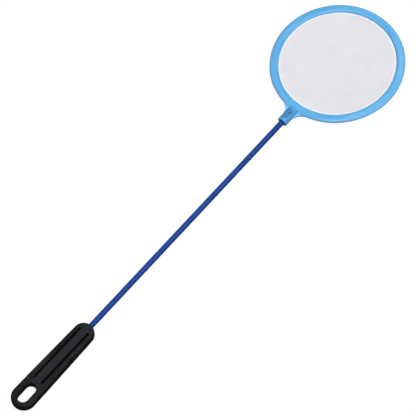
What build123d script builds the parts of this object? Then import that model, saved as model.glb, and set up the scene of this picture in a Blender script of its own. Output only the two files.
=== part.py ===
from build123d import *

import os

# A hand leaf skimmer: a flat oval net head on a coated steel rod with a moulded hand grip.
# It lies flat. +Y runs along the rod from the grip to the head, +X across, +Z up, in millimetres.
# The origin is under the middle of the object, on the surface that the grip lies on.
# The rod's axis, the head's parting plane and the grip's parting plane are all at MID_Z.

# Grip: a tapered bar with a thinner hanging loop at its free end.
GRIP_LENGTH = 114.0
GRIP_LOOP_WIDTH = 26.4
GRIP_NECK_WIDTH = 22.4
GRIP_THICKNESS = 11.6
GRIP_EDGE_RADIUS = 3.4
LOOP_THICKNESS = 10.0
LOOP_EDGE_RADIUS = 3.0
LOOP_LENGTH = 30.8
LOOP_RAMP = 1.6
SLOT_WIDTH = 12.0
SLOT_LENGTH = 22.6
SLOT_FROM_END = 17.4
SLOT_EDGE_RADIUS = 1.0
GROOVE_SPACING = 10.6
GROOVE_WIDTH = 2.6
GROOVE_DEPTH = 3.6
GROOVE_START = 33.4
GROOVE_END = 105.0

# Rod: a steel wire core with flattened ends, in a plastic coating.
ROD_DIAMETER = 6.0
CORE_DIAMETER = 3.0
ROD_EXPOSED = 311.5
COATING_IN_GRIP = 62.0
COATING_IN_SOCKET = 1.6
BLADE_HEIGHT = 4.6
BLADE_THICKNESS = 1.6
BLADE_LENGTH = 5.0
BLADE_TAPER = 3.0
CORE_IN_GRIP = 76.0
CORE_IN_SOCKET = 19.5

# Head: two mirrored frame halves that clamp the net, with the rod socket between them.
HOOP_WIDTH = 145.0
HOOP_LENGTH = 155.0
HOOP_END_RADIUS = 69.0
BAND_WIDTH = 9.8
BAND_THICKNESS = 4.6
CLAMP_WIDTH = 4.2
SOCKET_REACH = 19.5
SOCKET_BARREL = 17.6
SOCKET_MOUTH_RADIUS = 5.8
SOCKET_INNER_RADIUS = 5.4
SOCKET_MOUTH_ROUNDING = 0.5
SOCKET_NOSE = 4.6
GUSSET_THICKNESS = 1.8
GUSSET_START = 6.0
GUSSET_RADIUS = 17.0
GUSSET_HALF_WIDTH = 18.0
GUSSET_OVERLAP = 3.0
GUSSET_BITE = 0.5

# Net: a fine woven sheet, clamped flat at its rim and hanging slack inside the hoop.
NET_THICKNESS = 0.5
NET_SAG = 4.2
NET_LAP = 1.0

# Where each piece starts and ends along Y.
TOTAL_LENGTH = GRIP_LENGTH + ROD_EXPOSED + SOCKET_REACH + HOOP_LENGTH
GRIP_END_Y = -TOTAL_LENGTH / 2
GRIP_NECK_Y = GRIP_END_Y + GRIP_LENGTH
MOUTH_Y = GRIP_NECK_Y + ROD_EXPOSED
HOOP_NEAR_Y = MOUTH_Y + SOCKET_REACH
HOOP_CENTRE_Y = HOOP_NEAR_Y + HOOP_LENGTH / 2
MID_Z = GRIP_THICKNESS / 2

# An edge steeper than this isn't level. The body's side view runs this far past the grip's end.
LEVEL_SLOPE = 0.1
OVERRUN = 1.0

PARTING = Plane(origin=(0, 0, MID_Z), x_dir=(1, 0, 0), z_dir=(0, 0, 1))


def rod_plane(y):
    """A plane across the rod at y, centred on its axis and facing +Y."""
    return Plane(origin=(0, y, MID_Z), x_dir=(-1, 0, 0), z_dir=(0, 1, 0))


def grip_outline():
    """The grip's outline from above: two circles and the lines that touch both."""
    loop_radius = GRIP_LOOP_WIDTH / 2
    neck_radius = GRIP_NECK_WIDTH / 2
    loop = Pos(0, GRIP_END_Y + loop_radius) * Circle(loop_radius)
    neck = Pos(0, GRIP_NECK_Y - neck_radius) * Circle(neck_radius)
    return make_hull([*loop.edges(), *neck.edges()])


def level_edges(edges):
    """The edges that run level at their middle, which are the rims of an upright wall."""
    return edges.filter_by(lambda edge: abs(edge.tangent_at(0.5).Z) < LEVEL_SLOPE)


def rounded_bar(thickness, edge_radius):
    """A bar with the grip's outline, centred on the parting plane, with rounded rims."""
    bar = extrude(PARTING * grip_outline(), thickness / 2, both=True)
    return fillet(level_edges(bar.edges()), edge_radius)


def hanging_loop():
    """The thinner end of the grip, with a round-ended slot to hang it by."""
    plate = rounded_bar(LOOP_THICKNESS, LOOP_EDGE_RADIUS)
    plate = split(plate, Plane.XZ.offset(-(GRIP_END_Y + LOOP_LENGTH + LOOP_RAMP)), keep=Keep.TOP)
    slot = hanging_slot(LOOP_THICKNESS)
    slot_edges = new_edges(plate, combined=plate - slot)
    return fillet(level_edges(slot_edges), SLOT_EDGE_RADIUS)


def hanging_slot(thickness):
    """The slot's cutter, through a plate of the given thickness."""
    outline = Pos(0, GRIP_END_Y + SLOT_FROM_END) * Rot(0, 0, 90) * SlotOverall(SLOT_LENGTH, SLOT_WIDTH)
    return extrude(PARTING * outline, thickness, both=True)


def grip_body():
    """The thick part of the grip, which starts with a short ramp above and below the loop."""
    half = GRIP_THICKNESS / 2
    ramp_y = GRIP_END_Y + LOOP_LENGTH
    profile = [
        (ramp_y, MID_Z),
        (ramp_y, MID_Z + LOOP_THICKNESS / 2),
        (ramp_y + LOOP_RAMP, MID_Z + half),
        (GRIP_NECK_Y + OVERRUN, MID_Z + half),
        (GRIP_NECK_Y + OVERRUN, MID_Z - half),
        (ramp_y + LOOP_RAMP, MID_Z - half),
        (ramp_y, MID_Z - LOOP_THICKNESS / 2),
    ]
    side_view = make_face(Plane.YZ * Polyline(*profile, close=True))
    return rounded_bar(GRIP_THICKNESS, GRIP_EDGE_RADIUS) & extrude(side_view, GRIP_LOOP_WIDTH, both=True)


def grip_groove(x, side):
    """One long round-ended groove in the upper (side 1) or lower (side -1) face."""
    length = GROOVE_END - GROOVE_START
    middle = GRIP_END_Y + (GROOVE_START + GROOVE_END) / 2
    outline = Rot(0, 0, 90) * SlotOverall(length, GROOVE_WIDTH)
    cutter = extrude(outline, GROOVE_DEPTH, both=True)
    return Pos(x, middle, MID_Z + side * GRIP_THICKNESS / 2) * cutter


def make_grip(rod):
    """The one-piece hand grip, moulded round the rod's lower end."""
    body = hanging_loop() + grip_body()
    for side in (1, -1):
        for x in (-GROOVE_SPACING / 2, GROOVE_SPACING / 2):
            body -= grip_groove(x, side)
    return body - rod


def flat_blade(tip_y, inward):
    """The wire's flattened end, on edge. inward (1 or -1) points from its tip to the round wire."""
    middle_y = tip_y + inward * BLADE_LENGTH / 2
    blade = Pos(0, middle_y, MID_Z) * Box(BLADE_THICKNESS, BLADE_LENGTH, BLADE_HEIGHT)
    corners = blade.edges().filter_by(Axis.X).sort_by(Axis.Y)
    blade = fillet(corners[:2] if inward > 0 else corners[2:], BLADE_HEIGHT / 4)
    flat_end = rod_plane(tip_y + inward * BLADE_LENGTH) * Rectangle(BLADE_THICKNESS, BLADE_HEIGHT)
    round_end = rod_plane(tip_y + inward * (BLADE_LENGTH + BLADE_TAPER)) * Circle(CORE_DIAMETER / 2)
    return blade + loft([flat_end, round_end])


def make_core():
    """The steel wire, with a flattened end each side that stops it turning or pulling out."""
    start = GRIP_NECK_Y - CORE_IN_GRIP
    end = MOUTH_Y + CORE_IN_SOCKET
    shaped = BLADE_LENGTH + BLADE_TAPER
    wire = extrude(rod_plane(start + shaped) * Circle(CORE_DIAMETER / 2), end - start - 2 * shaped)
    return wire + flat_blade(start, 1) + flat_blade(end, -1)


def make_coating():
    """The coloured plastic tube over the wire."""
    start = GRIP_NECK_Y - COATING_IN_GRIP
    length = MOUTH_Y + COATING_IN_SOCKET - start
    section = Circle(ROD_DIAMETER / 2) - Circle(CORE_DIAMETER / 2)
    return extrude(rod_plane(start) * section, length)


def oval_arcs(inset):
    """The hoop's outline, moved inwards by inset, as four arcs: (centre, radius, start, sweep)."""
    half_width, half_length = HOOP_WIDTH / 2, HOOP_LENGTH / 2
    rise = half_length - HOOP_END_RADIUS
    gap = half_width - HOOP_END_RADIUS
    shift = (rise**2 - gap**2) / (2 * gap)
    side_radius = half_width + shift
    turn = Vector(shift, rise).get_angle(Vector(1, 0))
    end, side = HOOP_END_RADIUS - inset, side_radius - inset
    return [
        ((-shift, HOOP_CENTRE_Y), side, -turn, 2 * turn),
        ((0, HOOP_CENTRE_Y + rise), end, turn, 180 - 2 * turn),
        ((shift, HOOP_CENTRE_Y), side, 180 - turn, 2 * turn),
        ((0, HOOP_CENTRE_Y - rise), end, 180 + turn, 180 - 2 * turn),
    ]


def oval_face(inset):
    """A flat face with the hoop's outline, moved inwards by inset."""
    arcs = [CenterArc(centre, radius, start, sweep) for centre, radius, start, sweep in oval_arcs(inset)]
    return PARTING * make_face(arcs)


def band_ring():
    """The hoop's band: an oval-section ring, made as four arcs that meet in line."""
    section = Ellipse(BAND_WIDTH / 2, BAND_THICKNESS / 2)
    sectors = []
    for (x, y), radius, start, sweep in oval_arcs(BAND_WIDTH / 2):
        outward = Vector(1, 0, 0).rotate(Axis.Z, start)
        middle = Vector(x, y, MID_Z) + outward * radius
        across = Plane(origin=middle, x_dir=outward, z_dir=outward.cross(Vector(0, 0, 1)))
        sectors.append(revolve(across * section, Axis((x, y, 0), (0, 0, 1)), sweep))
    return sectors[0] + sectors[1:]


def socket_boss():
    """The round boss that takes the rod, with a nose that runs out on the band."""
    mouth, inner = SOCKET_MOUTH_RADIUS, SOCKET_INNER_RADIUS
    side = Polyline((0, 0), (mouth, 0), (inner, SOCKET_BARREL))
    nose = Spline(
        (inner, SOCKET_BARREL),
        (0, SOCKET_BARREL + SOCKET_NOSE),
        tangents=[(inner - mouth, SOCKET_BARREL), (-1, 0)],
    )
    axis_line = Line((0, SOCKET_BARREL + SOCKET_NOSE), (0, 0))
    profile = make_face(side.edges() + nose.edges() + axis_line.edges())
    boss = revolve(profile, Axis.Y, 360)
    boss = fillet(boss.edges().filter_by(GeomType.CIRCLE).sort_by(Axis.Y)[0], SOCKET_MOUTH_ROUNDING)
    return Pos(0, MOUTH_Y, MID_Z) * boss


def gusset_web():
    """The flat web that flares from the boss to the band, with a hollow curve down each side."""
    start_y = MOUTH_Y + GUSSET_START
    length = SOCKET_REACH + GUSSET_OVERLAP - GUSSET_START
    web = Pos(0, start_y + length / 2) * Rectangle(2 * GUSSET_HALF_WIDTH, length)
    for side in (1, -1):
        hollow_x = SOCKET_MOUTH_RADIUS - GUSSET_BITE + GUSSET_RADIUS
        web -= Pos(side * hollow_x, start_y) * Circle(GUSSET_RADIUS)
    return extrude(PARTING * web, GUSSET_THICKNESS / 2, both=True)


def make_net():
    """The net: a flat clamped rim, and a shallow slack dish inside the hoop."""
    rim_face = oval_face(BAND_WIDTH - CLAMP_WIDTH) - oval_face(BAND_WIDTH + NET_LAP)
    rim = extrude(rim_face, NET_THICKNESS / 2, both=True)
    half_x = HOOP_WIDTH / 2 - BAND_WIDTH
    half_y = HOOP_LENGTH / 2 - BAND_WIDTH
    radius = (half_x**2 + NET_SAG**2) / (2 * NET_SAG)
    shell = Sphere(radius + NET_THICKNESS / 2) - Sphere(radius - NET_THICKNESS / 2)
    dish = shell & Pos(0, 0, -radius) * Box(HOOP_WIDTH, HOOP_WIDTH, 2 * NET_SAG)
    dish = scale(dish, by=(1, half_y / half_x, 1))
    return rim + Pos(0, HOOP_CENTRE_Y, MID_Z + radius - NET_SAG) * dish


def make_hoop_half(side, hollows):
    """One half of the head's frame: side 1 is the upper one, side -1 the lower."""
    whole = band_ring() + socket_boss() + gusset_web()
    half_space = Pos(0, HOOP_CENTRE_Y, MID_Z + side * HOOP_WIDTH / 2) * Box(
        2 * HOOP_WIDTH, 2 * HOOP_LENGTH, HOOP_WIDTH
    )
    half = whole & half_space
    for hollow in hollows:
        half -= hollow
    return half


def main():
    core = make_core()
    coating = make_coating()
    net = make_net()
    pieces = {
        "grip": make_grip(core + coating),
        "rod_core": core,
        "rod_coating": coating,
        "hoop_upper": make_hoop_half(1, [core, coating, net]),
        "hoop_lower": make_hoop_half(-1, [core, coating, net]),
        "net_mesh": net,
    }
    os.makedirs("parts", exist_ok=True)
    for name, piece in pieces.items():
        export_step(piece, f"parts/{name}.step")


main()
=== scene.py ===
"""Looks for the leaf skimmer: materials, the woven net, the floor, the lights and the camera.

Every length is in metres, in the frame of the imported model: +Y from the grip to the head, +Z up.
"""

import math

import bmesh
import bpy
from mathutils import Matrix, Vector, noise


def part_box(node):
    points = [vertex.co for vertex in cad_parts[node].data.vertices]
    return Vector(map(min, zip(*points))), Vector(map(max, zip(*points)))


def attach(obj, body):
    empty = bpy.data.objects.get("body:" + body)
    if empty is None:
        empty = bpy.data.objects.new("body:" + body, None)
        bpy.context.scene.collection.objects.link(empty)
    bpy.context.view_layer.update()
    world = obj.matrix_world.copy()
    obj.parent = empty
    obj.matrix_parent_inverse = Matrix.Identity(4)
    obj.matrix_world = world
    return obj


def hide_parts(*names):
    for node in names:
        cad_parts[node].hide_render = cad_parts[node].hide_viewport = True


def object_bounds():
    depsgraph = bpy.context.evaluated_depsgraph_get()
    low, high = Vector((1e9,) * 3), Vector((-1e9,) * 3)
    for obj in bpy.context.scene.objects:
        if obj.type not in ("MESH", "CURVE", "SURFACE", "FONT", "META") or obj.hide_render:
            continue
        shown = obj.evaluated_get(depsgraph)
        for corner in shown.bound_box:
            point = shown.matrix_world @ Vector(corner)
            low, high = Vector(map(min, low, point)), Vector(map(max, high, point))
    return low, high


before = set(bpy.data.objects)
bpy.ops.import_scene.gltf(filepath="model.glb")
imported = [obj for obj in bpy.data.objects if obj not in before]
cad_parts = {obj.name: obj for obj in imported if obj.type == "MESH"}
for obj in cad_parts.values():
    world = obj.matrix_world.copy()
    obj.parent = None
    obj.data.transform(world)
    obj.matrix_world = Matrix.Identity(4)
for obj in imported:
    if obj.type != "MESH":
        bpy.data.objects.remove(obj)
cad_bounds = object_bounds()

# Camera, as a turn round the object and a distance.
CAMERA_AZIMUTH = 39.69
CAMERA_ELEVATION = 62.53
CAMERA_DISTANCE = 1.9905
CAMERA_AIM = (0.00515, -0.00553, 0.0058)
CAMERA_LENS = 164.0
SENSOR_WIDTH = 36.0

# Net: the pitch and thickness of its threads, its slack and its creases.
NET_PITCH = 0.00115
THREAD_WIDTH = 0.00064
THREAD_HEIGHT = 0.00026
WEAVE_RISE = 0.00009
NET_SAG = 0.0042
CLAMP_WIDTH = 0.0042
CREASE_HEIGHT = 0.0009
CREASE_ALONG = (3.1, 2.0)
CREASE_ACROSS = (0.8, 1.4)
CREASE_SEED = 4.0

# Where the painted highlight at the net's rim starts and ends, as a share of its half width or half
# length.
RIM_START = 0.915
RIM_END = 2.0

# Linear colours.
BAND_DARK = (0.060, 0.28, 0.56)
BAND_MID = (0.095, 0.35, 0.63)
BAND_LIGHT = (0.140, 0.40, 0.70)
# Painted highlight on the side of the band towards the lamp.
BAND_HIGHLIGHT = (0.220, 0.47, 0.75)
# Painted shade on the band's steep sides.
BAND_SIDE_SHADE = (0.060, 0.25, 0.50)
# Deeper blue of the thick neck, also used for painted shade on its left side.
NECK_DEEP_AND_SHADE = (0.030, 0.22, 0.52)
# Painted highlight on the neck's +X side.
NECK_HIGHLIGHT = (0.100, 0.26, 0.50)
WEB_PALE = (0.230, 0.53, 0.84)
WIRE_SHADE = (0.020, 0.08, 0.19)
# Painted light on the lip of the neck's mouth.
MOUTH_LIP_LIGHT = (0.160, 0.55, 0.95)
THREAD_DARK = (0.740, 0.745, 0.785)
THREAD_LIGHT = (0.775, 0.780, 0.825)
# Painted highlight at the net's rim.
THREAD_RIM_HIGHLIGHT = (0.90, 0.92, 0.95)
GRIP_DARK = (0.0075, 0.0078, 0.0076)
GRIP_LIGHT = (0.0165, 0.0168, 0.0170)
# Painted highlight on the grip's ramp.
RAMP_HIGHLIGHT = (0.026, 0.027, 0.030)
PANEL_TONE = (0.0175, 0.018, 0.0215)
# Painted shade inside the grip's grooves.
GROOVE_SHADE = (0.0015, 0.0015, 0.0015)
# Painted shade on the grip's steep sides; also the darker tone of its loop.
SIDE_SHADE_AND_LOOP_TONE = (0.005, 0.005, 0.005)
COATING_DARK = (0.006, 0.042, 0.22)
COATING_LIGHT = (0.010, 0.054, 0.29)
# Painted shade on the rod's sides and where it enters the socket.
COATING_SHADE = (0.002, 0.016, 0.075)
STEEL_DARK = (0.16, 0.17, 0.19)
STEEL_LIGHT = (0.30, 0.31, 0.33)

# A bound further off than any point of the skimmer, for a zone that is open on one side.
FAR = 1.0

# Hoop: streaks across the band, the side where a highlight is painted on it, and the mould seam.
STREAKS_PER_METRE = 500.0
HIGHLIGHT_TOWARDS = (0.77, 0.64)
HIGHLIGHT_START = 0.075
SEAM_WIDTH = 0.0004

# Neck, across it: the whole, its left side with painted shade, the webs, the patch of painted highlight
# and the wire.
NECK_HALF = 0.0052
LEFT_EDGE = -0.0004
WEB_START = 0.0062
WEB_END = 0.02
PATCH_START = 0.0024
PATCH_END = 0.0046
WIRE_HALF = 0.0012
WIRE_PLACE = 0.0012

# Neck, along it: zones from a depth past the mouth to a margin short of the wire's end.
NECK_ZONE = (-FAR, 0.001)
PATCH_ZONE = (0.004, 0.003)
WIRE_ZONE = (0.003, 0.003)
WIRE_END_ZONE = (0.0105, 0.006)
BLEND_MARGIN = 0.002
LIP_WIDTH = 0.0004
ENTRY_LENGTH = 0.0012

# Grip: its loop, the ramp up to its body, the centre panel and the two grooves.
LOOP_LENGTH = 0.0308
LOOP_RAMP = 0.0016
PANEL_HALF = 0.0039
GROOVE_WIDTH = 0.0026
GROOVE_START = 0.0334
GROOVE_END = 0.105
GROOVE_INSET = 0.0003
SKIN_DEPTH = 0.0005

# Floor and light.
STAGE_RADIUS = 6.0
FLOOR_DROP = 0.0002
FLOOR_GLOW = 0.90
FLOOR_TONE = 0.1
ZENITH = 0.75
HORIZON = 0.12
KEY_POWER = 60.0
KEY_SIZE = 1.8
KEY_PLACE = (0.85, 0.35, 2.3)


def node_material(name):
    """A new material with one Principled shader. Returns (material, tree, shader)."""
    mat = bpy.data.materials.new(name)
    mat.use_nodes = True
    tree = mat.node_tree
    shader = tree.nodes["Principled BSDF"]
    return mat, tree, shader


def object_coords(tree, scale=(1, 1, 1)):
    """Object-space coordinates, multiplied by scale."""
    coords = tree.nodes.new("ShaderNodeTexCoord")
    mapping = tree.nodes.new("ShaderNodeMapping")
    mapping.inputs["Scale"].default_value = scale
    tree.links.new(coords.outputs["Object"], mapping.inputs["Vector"])
    return mapping.outputs["Vector"]


def noise_value(tree, vector, size, detail=2.0, roughness=0.5):
    """Noise from 0 to 1 with features about size metres across."""
    tex = tree.nodes.new("ShaderNodeTexNoise")
    tex.inputs["Scale"].default_value = 1.0 / size
    tex.inputs["Detail"].default_value = detail
    tex.inputs["Roughness"].default_value = roughness
    tree.links.new(vector, tex.inputs["Vector"])
    return tex.outputs["Fac"]


def ramp(tree, value, stops):
    """A colour ramp of value through (position, colour) stops."""
    node = tree.nodes.new("ShaderNodeValToRGB")
    elements = node.color_ramp.elements
    while len(elements) < len(stops):
        elements.new(0.5)
    for element, (position, colour) in zip(elements, stops):
        element.position = position
        element.color = (*colour, 1.0)
    tree.links.new(value, node.inputs["Fac"])
    return node.outputs["Color"]


def remap(tree, value, low, high):
    """value, from 0 to 1, mapped to low to high."""
    node = tree.nodes.new("ShaderNodeMapRange")
    node.inputs["To Min"].default_value = low
    node.inputs["To Max"].default_value = high
    tree.links.new(value, node.inputs["Value"])
    return node.outputs["Result"]


def bump(tree, shader, height, distance, strength=1.0, after=None):
    """Bump of the given height in metres on the shader, on top of an earlier bump if given."""
    node = tree.nodes.new("ShaderNodeBump")
    node.inputs["Strength"].default_value = strength
    node.inputs["Distance"].default_value = distance
    tree.links.new(height, node.inputs["Height"])
    if after is not None:
        tree.links.new(after, node.inputs["Normal"])
    tree.links.new(node.outputs["Normal"], shader.inputs["Normal"])
    return node.outputs["Normal"]


def math_node(tree, operation, *values):
    """A Math node on sockets or numbers."""
    node = tree.nodes.new("ShaderNodeMath")
    node.operation = operation
    for socket, value in zip(node.inputs, values):
        if isinstance(value, (int, float)):
            socket.default_value = value
        else:
            tree.links.new(value, socket)
    return node.outputs[0]


def product(tree, first, *others):
    """The product of several sockets or numbers."""
    for other in others:
        first = math_node(tree, "MULTIPLY", first, other)
    return first


def split_xyz(tree, vector):
    """The x, y and z sockets of a vector."""
    node = tree.nodes.new("ShaderNodeSeparateXYZ")
    tree.links.new(vector, node.inputs[0])
    return node.outputs[0], node.outputs[1], node.outputs[2]


def mix_colour(tree, factor, a, b):
    """a where factor is 0, b where it is 1. a and b are sockets or linear colours."""
    node = tree.nodes.new("ShaderNodeMix")
    node.data_type = "RGBA"
    for socket, value in ((node.inputs[0], factor), (node.inputs[6], a), (node.inputs[7], b)):
        if isinstance(value, tuple):
            socket.default_value = (*value, 1.0)
        else:
            tree.links.new(value, socket)
    return node.outputs[2]


def band_mask(tree, value, low, high, soft):
    """1 where value lies between low and high, and 0 outside, with soft edges."""
    rising = tree.nodes.new("ShaderNodeMapRange")
    falling = tree.nodes.new("ShaderNodeMapRange")
    for node, start, end in ((rising, low - soft, low + soft), (falling, high + soft, high - soft)):
        node.interpolation_type = "SMOOTHSTEP"
        node.inputs["From Min"].default_value = min(start, end)
        node.inputs["From Max"].default_value = max(start, end)
        node.inputs["To Min"].default_value = 0.0 if start < end else 1.0
        node.inputs["To Max"].default_value = 1.0 if start < end else 0.0
        tree.links.new(value, node.inputs["Value"])
    return product(tree, rising.outputs[0], falling.outputs[0])


def steep_mask(tree, level, steep, strength):
    """How much painted shade a surface gets: 0 where it faces up or down, rising to strength where it
    stands steeply.
    """
    facing = split_xyz(tree, tree.nodes.new("ShaderNodeNewGeometry").outputs["Normal"])
    upright = math_node(tree, "ABSOLUTE", facing[2])
    rise = tree.nodes.new("ShaderNodeMapRange")
    rise.interpolation_type = "SMOOTHSTEP"
    rise.inputs["From Min"].default_value = steep
    rise.inputs["From Max"].default_value = level
    rise.inputs["To Min"].default_value = strength
    rise.inputs["To Max"].default_value = 0.0
    tree.links.new(upright, rise.inputs["Value"])
    return rise.outputs[0]


def seam_line(tree, height, level, width):
    """1 on a thin level line round a moulding, where its two mould halves met."""
    return band_mask(tree, height, level - width / 2, level + width / 2, width / 3)


def grip_colour(tree, x, y, z, patches, speckle):
    """Charcoal: a mottled rail, a bluer palm panel, a darker loop, painted shade in the grooves and on the
    sides, and a painted highlight on the ramp.
    """
    low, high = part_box("grip")
    middle = (low[2] + high[2]) / 2
    ramp_end = low[1] + LOOP_LENGTH
    ramp_start = ramp_end - LOOP_RAMP
    mottle = math_node(
        tree, "ADD", remap(tree, patches, low=0.0, high=0.5), remap(tree, speckle, low=0.0, high=0.5)
    )
    colour = ramp(tree, mottle, [(0.40, GRIP_DARK), (0.60, GRIP_LIGHT)])
    panel = band_mask(tree, x, -PANEL_HALF, PANEL_HALF, soft=0.0004)
    on_body = band_mask(tree, y, ramp_end, high[1], soft=0.0003)
    colour = mix_colour(tree, product(tree, panel, on_body), colour, PANEL_TONE)
    # The loop is mixed a little towards the dark tone.
    on_loop = band_mask(tree, y, -FAR, ramp_start, soft=0.0005)
    colour = mix_colour(tree, product(tree, on_loop, 0.25), colour, SIDE_SHADE_AND_LOOP_TONE)
    # Painted highlight: the ramp up to the body is lightened.
    ramp_highlight = band_mask(tree, y, ramp_start, ramp_end, soft=0.0006)
    colour = mix_colour(tree, product(tree, ramp_highlight, 0.3), colour, RAMP_HIGHLIGHT)
    # Painted shade: the insides of the two grooves are darkened.
    sideways = math_node(tree, "ABSOLUTE", x)
    depth = (high[2] - low[2]) / 2 - SKIN_DEPTH
    groove_shade = product(
        tree,
        band_mask(tree, sideways, PANEL_HALF - GROOVE_INSET, PANEL_HALF + GROOVE_WIDTH, soft=0.0002),
        band_mask(tree, z, middle - depth, middle + depth, soft=0.0002),
        band_mask(tree, y, low[1] + GROOVE_START, low[1] + GROOVE_END, soft=0.0001),
    )
    colour = mix_colour(tree, groove_shade, colour, GROOVE_SHADE)
    # Painted shade: the grip's steep sides are darkened.
    return mix_colour(tree, steep_mask(tree, level=0.92, steep=0.40, strength=0.85), colour, SIDE_SHADE_AND_LOOP_TONE)


def grip_material():
    """Charcoal moulded plastic, with a fine spark-eroded texture and a mould seam round its sides."""
    mat, tree, shader = node_material("charcoal_plastic")
    coords = object_coords(tree)
    x, y, z = split_xyz(tree, coords)
    patches = noise_value(tree, coords, size=0.018, detail=4)
    speckle = noise_value(tree, coords, size=0.0022, detail=3, roughness=0.6)
    colour = grip_colour(tree, x, y, z, patches, speckle)
    tree.links.new(colour, shader.inputs["Base Color"])
    tree.links.new(remap(tree, patches, low=0.45, high=0.6), shader.inputs["Roughness"])
    shader.inputs["Specular IOR Level"].default_value = 0.045
    grain = noise_value(tree, coords, size=0.0006, detail=3, roughness=0.7)
    drawn = noise_value(tree, object_coords(tree, (1, 0.05, 1)), size=0.0015, detail=2)
    low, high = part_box("grip")
    seam = seam_line(tree, z, (low[2] + high[2]) / 2, SEAM_WIDTH)
    first = bump(tree, shader, grain, distance=0.00012)
    second = bump(tree, shader, drawn, distance=0.00008, after=first)
    bump(tree, shader, seam, distance=0.00015, after=second)
    return mat


def coating_material():
    """Royal blue soft plastic, glossy, with faint extrusion lines along the rod, painted shade on its
    steep sides and painted shade where it enters the socket.
    """
    mat, tree, shader = node_material("blue_coating")
    coords = object_coords(tree)
    y = split_xyz(tree, coords)[1]
    clouds = noise_value(tree, coords, size=0.03, detail=3)
    colour = ramp(tree, clouds, [(0.3, COATING_DARK), (0.7, COATING_LIGHT)])
    # Painted shade: the rod's steep sides are darkened.
    colour = mix_colour(tree, steep_mask(tree, level=0.85, steep=0.3, strength=0.75), colour, COATING_SHADE)
    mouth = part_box("hoop_upper")[0][1]
    # Painted shade: the coating darkens towards and into the socket's mouth.
    entry_shade = band_mask(tree, y, mouth - ENTRY_LENGTH, FAR, soft=0.0012)
    colour = mix_colour(tree, product(tree, entry_shade, 0.85), colour, COATING_SHADE)
    tree.links.new(colour, shader.inputs["Base Color"])
    lines = noise_value(tree, object_coords(tree, (1, 0.02, 1)), size=0.0006, detail=2)
    tree.links.new(remap(tree, clouds, low=0.32, high=0.45), shader.inputs["Roughness"])
    shader.inputs["Specular IOR Level"].default_value = 0.08
    bump(tree, shader, lines, distance=0.00003)
    return mat


def steel_material():
    """Dull drawn wire, with marks along its length."""
    mat, tree, shader = node_material("drawn_wire")
    lines = noise_value(tree, object_coords(tree, (1, 0.02, 1)), size=0.0004, detail=3)
    colour = ramp(tree, lines, [(0.3, STEEL_DARK), (0.7, STEEL_LIGHT)])
    tree.links.new(colour, shader.inputs["Base Color"])
    shader.inputs["Metallic"].default_value = 0.9
    tree.links.new(remap(tree, lines, low=0.3, high=0.5), shader.inputs["Roughness"])
    bump(tree, shader, lines, distance=0.00003)
    return mat


def ring_coords(tree, centre, squeeze):
    """Coordinates that run slowly round the hoop and quickly across its band."""
    coords = tree.nodes.new("ShaderNodeTexCoord")
    shift = tree.nodes.new("ShaderNodeMapping")
    shift.inputs["Location"].default_value = (-centre[0], -centre[1] * squeeze, 0)
    shift.inputs["Scale"].default_value = (1, squeeze, 0)
    tree.links.new(coords.outputs["Object"], shift.inputs["Vector"])
    length = tree.nodes.new("ShaderNodeVectorMath")
    length.operation = "LENGTH"
    tree.links.new(shift.outputs[0], length.inputs[0])
    unit = tree.nodes.new("ShaderNodeVectorMath")
    unit.operation = "NORMALIZE"
    tree.links.new(shift.outputs[0], unit.inputs[0])
    joined = tree.nodes.new("ShaderNodeCombineXYZ")
    unit_x, unit_y, _ = split_xyz(tree, unit.outputs[0])
    tree.links.new(unit_x, joined.inputs[0])
    tree.links.new(unit_y, joined.inputs[1])
    tree.links.new(product(tree, length.outputs["Value"], STREAKS_PER_METRE), joined.inputs[2])
    return joined.outputs[0]


def neck_zone(tree, y, zone, soft):
    """1 on the neck from a depth past its mouth to a margin short of the wire's end."""
    depth, margin = zone
    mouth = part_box("hoop_upper")[0][1]
    wire_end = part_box("rod_core")[1][1]
    return band_mask(tree, y, mouth + depth, wire_end - margin, soft)


def neck_colour(tree, x, y, band, grain):
    """The band's colour, deeper on the thick neck with painted shade on its left side, with paler webs and
    a greyer patch of painted highlight on its +X side.
    """
    # Deeper blue on the thick neck, with painted shade on its left side.
    left_shade = band_mask(tree, x, -NECK_HALF, LEFT_EDGE, soft=0.001)
    whole = band_mask(tree, x, -NECK_HALF, NECK_HALF, soft=0.0009)
    neck = math_node(tree, "ADD", product(tree, left_shade, 0.3), product(tree, whole, 0.7))
    neck = product(tree, neck, neck_zone(tree, y, NECK_ZONE, soft=0.004))
    neck = product(tree, neck, remap(tree, grain, low=0.55, high=1.15))
    colour = mix_colour(tree, neck, band, NECK_DEEP_AND_SHADE)
    web = band_mask(tree, math_node(tree, "ABSOLUTE", x), WEB_START, WEB_END, soft=0.0006)
    web = product(tree, web, neck_zone(tree, y, NECK_ZONE, soft=0.0015), 0.5)
    colour = mix_colour(tree, web, colour, WEB_PALE)
    # Painted highlight: a greyer patch on the neck's +X side.
    patch = band_mask(tree, x, PATCH_START, PATCH_END, soft=0.0009)
    patch = product(tree, patch, neck_zone(tree, y, PATCH_ZONE, soft=0.003), 0.7)
    return mix_colour(tree, patch, colour, NECK_HIGHLIGHT)


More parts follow.
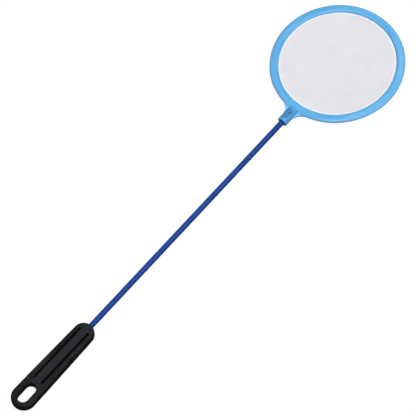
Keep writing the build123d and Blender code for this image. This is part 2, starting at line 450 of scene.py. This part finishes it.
def wire_colour(tree, x, y, colour, grain):
    """The neck's colour with the wire's dark shade in it, wider towards its end, and painted light on the
    mouth's lip.
    """
    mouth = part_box("hoop_upper")[0][1]
    along = tree.nodes.new("ShaderNodeMapRange")
    along.inputs["From Min"].default_value = mouth
    along.inputs["From Max"].default_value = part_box("rod_core")[1][1]
    tree.links.new(y, along.inputs["Value"])
    sideways = math_node(tree, "SUBTRACT", x, WIRE_PLACE)
    sideways = math_node(tree, "DIVIDE", sideways, remap(tree, along.outputs[0], low=0.9, high=1.5))
    length = product(tree, neck_zone(tree, y, WIRE_ZONE, soft=0.003), 0.7)
    end = product(tree, neck_zone(tree, y, WIRE_END_ZONE, soft=0.003), 0.3)
    wire = band_mask(tree, sideways, -WIRE_HALF, WIRE_HALF, soft=0.0007)
    wire = product(tree, wire, math_node(tree, "ADD", length, end))
    wire = product(tree, wire, remap(tree, grain, low=0.6, high=1.2))
    colour = mix_colour(tree, wire, colour, WIRE_SHADE)
    # Painted light: the lip of the mouth is lightened as if lit through the plastic.
    lip_light = band_mask(tree, y, -FAR, mouth + LIP_WIDTH, soft=0.0003)
    return mix_colour(tree, lip_light, colour, MOUTH_LIP_LIGHT)


def highlight_reach(tree, x, y, centre):
    """How far a point lies from the hoop's centre towards the side where the band has a painted highlight.
    """
    along_x = product(tree, math_node(tree, "SUBTRACT", x, centre[0]), HIGHLIGHT_TOWARDS[0])
    along_y = product(tree, math_node(tree, "SUBTRACT", y, centre[1]), HIGHLIGHT_TOWARDS[1])
    return math_node(tree, "ADD", along_x, along_y)


def hoop_material():
    """Milky light blue plastic: flow streaks round the band, a painted highlight on one side, painted
    shade on its steep sides, and a deeper neck with the wire inside.
    """
    mat, tree, shader = node_material("light_blue_plastic")
    low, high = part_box("net_mesh")
    centre = ((low[0] + high[0]) / 2, (low[1] + high[1]) / 2)
    squeeze = (high[0] - low[0]) / (high[1] - low[1])
    wire_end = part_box("rod_core")[1][1]
    coords = object_coords(tree)
    x, y, z = split_xyz(tree, coords)
    streaks = noise_value(tree, ring_coords(tree, centre, squeeze), size=1.0, detail=4, roughness=0.65)
    on_band = band_mask(tree, y, wire_end, FAR, soft=0.003)
    streaks = product(tree, math_node(tree, "SUBTRACT", streaks, 0.5), on_band)
    streaks = math_node(tree, "ADD", streaks, 0.5)
    flow = noise_value(tree, coords, size=0.02, detail=4, roughness=0.55)
    grain = noise_value(tree, coords, size=0.0025, detail=3, roughness=0.6)
    band = ramp(tree, streaks, [(0.36, BAND_DARK), (0.5, BAND_MID), (0.66, BAND_LIGHT)])
    # Painted highlight: on one side the band is mixed towards a paler blue.
    side_highlight = band_mask(tree, highlight_reach(tree, x, y, centre), HIGHLIGHT_START, FAR, soft=0.03)
    side_highlight = product(tree, side_highlight, remap(tree, flow, low=0.1, high=1.1))
    band = mix_colour(tree, side_highlight, band, BAND_HIGHLIGHT)
    # Painted shade: the band's steep sides are darkened, less so on the neck.
    on_neck = band_mask(tree, y, -FAR, wire_end - BLEND_MARGIN, soft=0.003)
    band_side_shade = steep_mask(tree, level=0.9, steep=0.45, strength=0.7)
    band_side_shade = product(tree, band_side_shade, remap(tree, on_neck, low=1.0, high=0.35))
    band = mix_colour(tree, band_side_shade, band, BAND_SIDE_SHADE)
    colour = wire_colour(tree, x, y, neck_colour(tree, x, y, band, grain), grain)
    tree.links.new(colour, shader.inputs["Base Color"])
    tree.links.new(remap(tree, flow, low=0.2, high=0.42), shader.inputs["Roughness"])
    shader.inputs["Specular IOR Level"].default_value = 0.2
    first = bump(tree, shader, streaks, distance=0.0003)
    seam = seam_line(tree, z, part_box("hoop_upper")[0][2], SEAM_WIDTH)
    bump(tree, shader, seam, distance=-0.0002, after=first)
    return mat


def net_material():
    """White nylon thread, with a painted highlight near the rim."""
    mat, tree, shader = node_material("white_nylon")
    coords = object_coords(tree)
    soil = noise_value(tree, coords, size=0.02, detail=4)
    colour = ramp(tree, soil, [(0.3, THREAD_DARK), (0.7, THREAD_LIGHT)])
    centre, half, _ = net_shape()
    shift = tree.nodes.new("ShaderNodeMapping")
    shift.inputs["Location"].default_value = (-centre.x / half.x, -centre.y / half.y, 0)
    shift.inputs["Scale"].default_value = (1 / half.x, 1 / half.y, 0)
    tree.links.new(coords, shift.inputs["Vector"])
    reach = tree.nodes.new("ShaderNodeVectorMath")
    reach.operation = "LENGTH"
    tree.links.new(shift.outputs[0], reach.inputs[0])
    # Painted highlight: the threads near the rim are whiter.
    rim_highlight = band_mask(tree, reach.outputs["Value"], RIM_START, RIM_END, soft=0.012)
    colour = mix_colour(tree, rim_highlight, colour, THREAD_RIM_HIGHLIGHT)
    tree.links.new(colour, shader.inputs["Base Color"])
    tree.links.new(remap(tree, soil, low=0.45, high=0.6), shader.inputs["Roughness"])
    shader.inputs["Specular IOR Level"].default_value = 0.08
    fibres = noise_value(tree, coords, size=0.0002, detail=2)
    bump(tree, shader, fibres, distance=0.00002)
    return mat


def paint(name, mat):
    """Gives a CAD node one material."""
    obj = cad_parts[name]
    obj.data.materials.clear()
    obj.data.materials.append(mat)


def net_shape():
    """The net's centre, its half sizes out to its clamped rim, and the height of that rim."""
    low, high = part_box("net_mesh")
    centre = Vector(((low[0] + high[0]) / 2, (low[1] + high[1]) / 2))
    half = Vector(((high[0] - low[0]) / 2, (high[1] - low[1]) / 2))
    return centre, half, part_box("hoop_upper")[0][2]


def net_height(x, y, centre, half, rim_z):
    """Height of the net at a point: flat in the frame's clamp, a shallow creased dish inside it."""
    u, v = (x - centre.x) / (half.x - CLAMP_WIDTH), (y - centre.y) / (half.y - CLAMP_WIDTH)
    slack = max(0.0, 1 - u * u - v * v)
    along = u * CREASE_ALONG[0] + v * CREASE_ALONG[1]
    across = v * CREASE_ACROSS[1] - u * CREASE_ACROSS[0]
    crease = noise.noise(Vector((along, across, CREASE_SEED)))
    return rim_z + slack * (CREASE_HEIGHT * crease - NET_SAG)


def thread_mesh(bm, points):
    """A thin four-sided thread along points."""
    upward = Vector((0, 0, 1))
    up = upward * (THREAD_HEIGHT / 2)
    rings = []
    for i, point in enumerate(points):
        along = points[min(i + 1, len(points) - 1)] - points[max(i - 1, 0)]
        side = along.cross(upward).normalized() * (THREAD_WIDTH / 2)
        rings.append([bm.verts.new(point + offset) for offset in (side, up, -side, -up)])
    for a, b in zip(rings, rings[1:]):
        for j in range(4):
            bm.faces.new((a[j], a[(j + 1) % 4], b[(j + 1) % 4], b[j]))
    bm.faces.new(rings[0])
    bm.faces.new(tuple(reversed(rings[-1])))


def thread_points(row, offset, pieces, lengthwise, shape):
    """The points of one thread, alternately over and under the threads that it crosses."""
    centre, half, rim_z = shape
    start = -(pieces // 2)
    points = []
    for k in range(start, start + pieces + 1):
        step = k * NET_PITCH
        x, y = (offset, step) if lengthwise else (step, offset)
        x, y = x + centre.x, y + centre.y
        over = 1 if (row + k + lengthwise) % 2 else -1
        points.append(Vector((x, y, net_height(x, y, centre, half, rim_z) + over * WEAVE_RISE)))
    return points


def make_net():
    """The woven net: two sets of threads that pass over and under each other."""
    shape = net_shape()
    half = shape[1]
    bm = bmesh.new()
    for lengthwise in (True, False):
        reach, run = (half.x, half.y) if lengthwise else (half.y, half.x)
        count = int(reach / NET_PITCH)
        for row in range(-count, count + 1):
            offset = row * NET_PITCH
            extent = run * math.sqrt(max(0.0, 1 - (offset / reach) ** 2))
            pieces = int(2 * extent / NET_PITCH)
            if pieces >= 2:
                thread_mesh(bm, thread_points(row, offset, pieces, lengthwise, shape))
    mesh = bpy.data.meshes.new("woven_net")
    bm.to_mesh(mesh)
    bm.free()
    mesh.shade_smooth()
    obj = bpy.data.objects.new("woven_net", mesh)
    bpy.context.collection.objects.link(obj)
    return obj


def stage_piece(obj, name, mat):
    """Makes an object part of the plain pale stage, which throws no light on the skimmer."""
    obj.name = name
    obj.data.materials.append(mat)
    obj.visible_diffuse = False
    obj.visible_glossy = False
    obj.visible_shadow = False


def make_stage():
    """A plain pale floor, and a pale dome behind it for the low views."""
    mat, _, shader = node_material("pale_stage")
    shader.inputs["Base Color"].default_value = (FLOOR_TONE, FLOOR_TONE, FLOOR_TONE, 1)
    shader.inputs["Roughness"].default_value = 0.9
    shader.inputs["Specular IOR Level"].default_value = 0.1
    shader.inputs["Emission Color"].default_value = (1, 1, 1, 1)
    shader.inputs["Emission Strength"].default_value = FLOOR_GLOW
    level = cad_bounds[0][2] - FLOOR_DROP
    bpy.ops.mesh.primitive_plane_add(size=2 * STAGE_RADIUS, location=(0, 0, level))
    stage_piece(bpy.context.object, "floor", mat)
    bpy.ops.mesh.primitive_uv_sphere_add(radius=STAGE_RADIUS, location=(0, 0, level))
    stage_piece(bpy.context.object, "dome", mat)


def make_light():
    """Soft studio light: a surround that is bright overhead, and one large soft lamp."""
    world = bpy.data.worlds.new("studio")
    bpy.context.scene.world = world
    world.use_nodes = True
    tree = world.node_tree
    height = split_xyz(tree, tree.nodes.new("ShaderNodeTexCoord").outputs["Generated"])[2]
    sky = ramp(tree, height, [(0.0, (HORIZON,) * 3), (1.0, (ZENITH,) * 3)])
    tree.links.new(sky, tree.nodes["Background"].inputs["Color"])
    lamp = bpy.data.lights.new("softbox", "AREA")
    lamp.energy = KEY_POWER
    lamp.size = KEY_SIZE
    obj = bpy.data.objects.new("softbox", lamp)
    obj.location = KEY_PLACE
    obj.rotation_euler = (-obj.location).to_track_quat("-Z", "Y").to_euler()
    bpy.context.collection.objects.link(obj)


def make_camera():
    """The camera, at a turn and a height round the object."""
    data = bpy.data.cameras.new("camera")
    data.lens = CAMERA_LENS
    data.sensor_width = SENSOR_WIDTH
    data.clip_end = 50
    az, el = math.radians(CAMERA_AZIMUTH), math.radians(CAMERA_ELEVATION)
    back = Vector((math.sin(az) * math.cos(el), -math.cos(az) * math.cos(el), math.sin(el)))
    camera = bpy.data.objects.new("camera", data)
    camera.location = Vector(CAMERA_AIM) + back * CAMERA_DISTANCE
    camera.rotation_euler = (-back).to_track_quat("-Z", "Y").to_euler()
    bpy.context.collection.objects.link(camera)
    bpy.context.scene.camera = camera


paint("grip", grip_material())
paint("rod_coating", coating_material())
paint("rod_core", steel_material())
hoop = hoop_material()
paint("hoop_upper", hoop)
paint("hoop_lower", hoop)

net = make_net()
net.data.materials.append(net_material())
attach(net, "root")
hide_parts("net_mesh")

make_stage()
make_light()
make_camera()
bpy.context.scene.view_settings.view_transform = "Standard"
